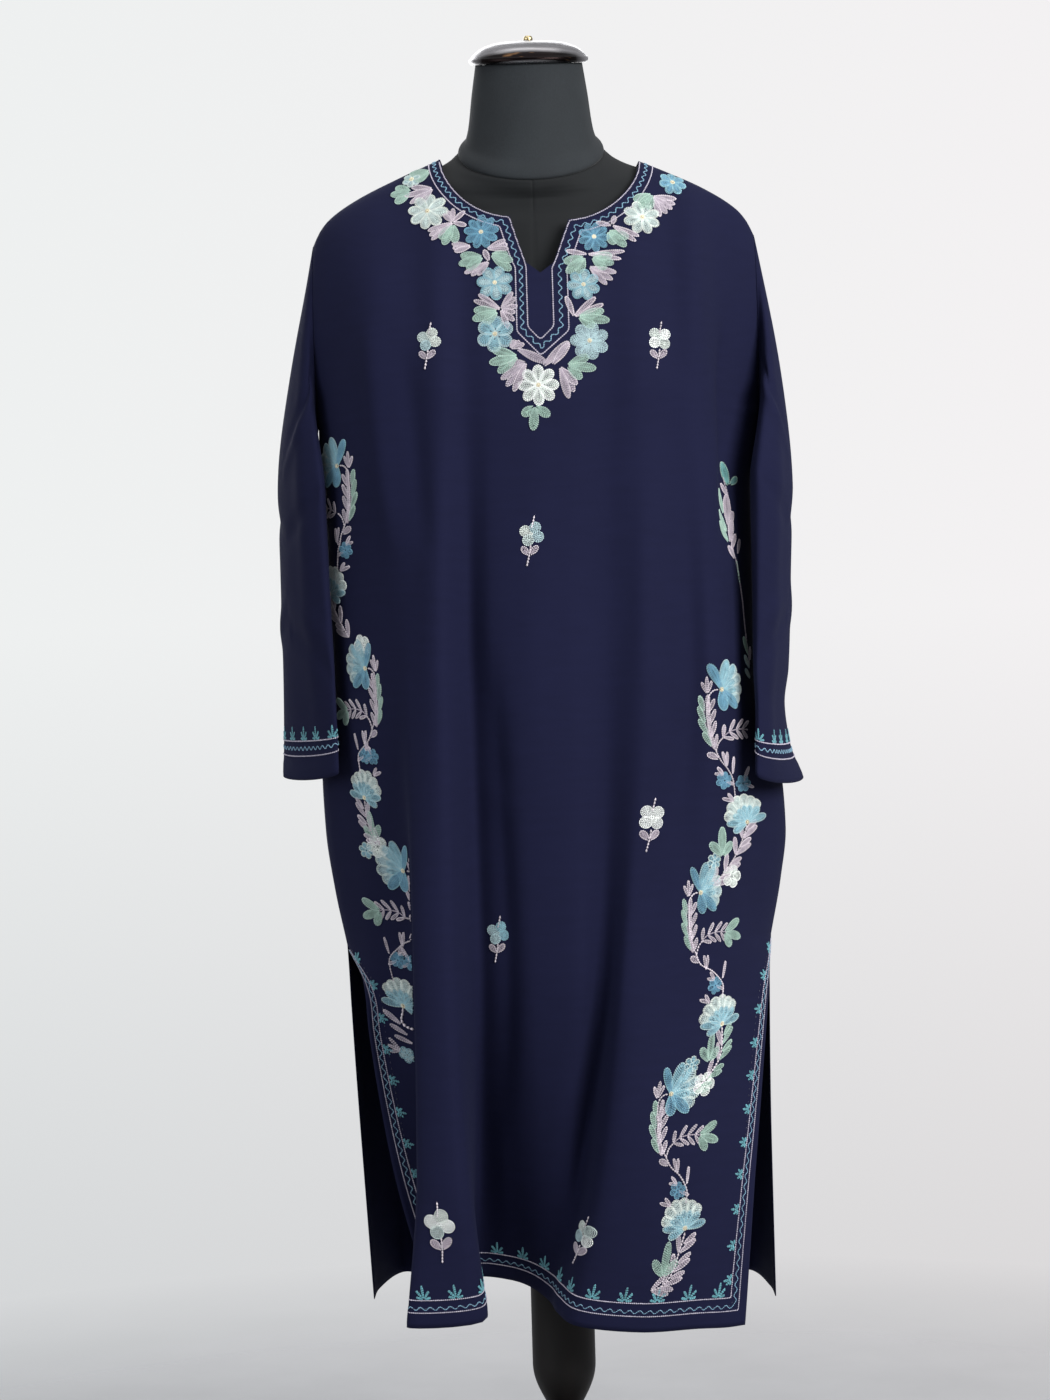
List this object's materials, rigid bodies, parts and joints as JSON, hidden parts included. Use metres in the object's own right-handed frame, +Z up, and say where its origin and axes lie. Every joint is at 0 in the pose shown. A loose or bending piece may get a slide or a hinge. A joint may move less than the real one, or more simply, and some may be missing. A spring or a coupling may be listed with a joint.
{
  "type": "pheran on a dress form",
  "caption": "Long navy wool pheran with a slit round neck, side slits and chain-stitch flower embroidery, on a limbless dress form with a metal neck cap and a turned wooden stand.",
  "frame": {"origin": "centre of the stand base's underside, on the floor", "axes": "+Z up; -Y is the garment's front; -X is the wearer's right"},
  "size_m": [0.5251, 0.42, 1.5855],
  "materials": {
    "wool": "matte",
    "embroidery_thread": "satin",
    "jersey": "matte",
    "cap_metal": "polished",
    "knob_brass": "satin",
    "dark_wood": "satin"
  },
  "bodies": {
    "root": {"front_panel": "wool", "back_panel": "wool", "right_sleeve": "wool", "left_sleeve": "wool", "form_torso": "jersey", "form_neck": "jersey", "neck_cap": "cap_metal", "cap_knob": "knob_brass", "stand_column": "dark_wood", "stand_base": "dark_wood"}
  },
  "joints": []
}
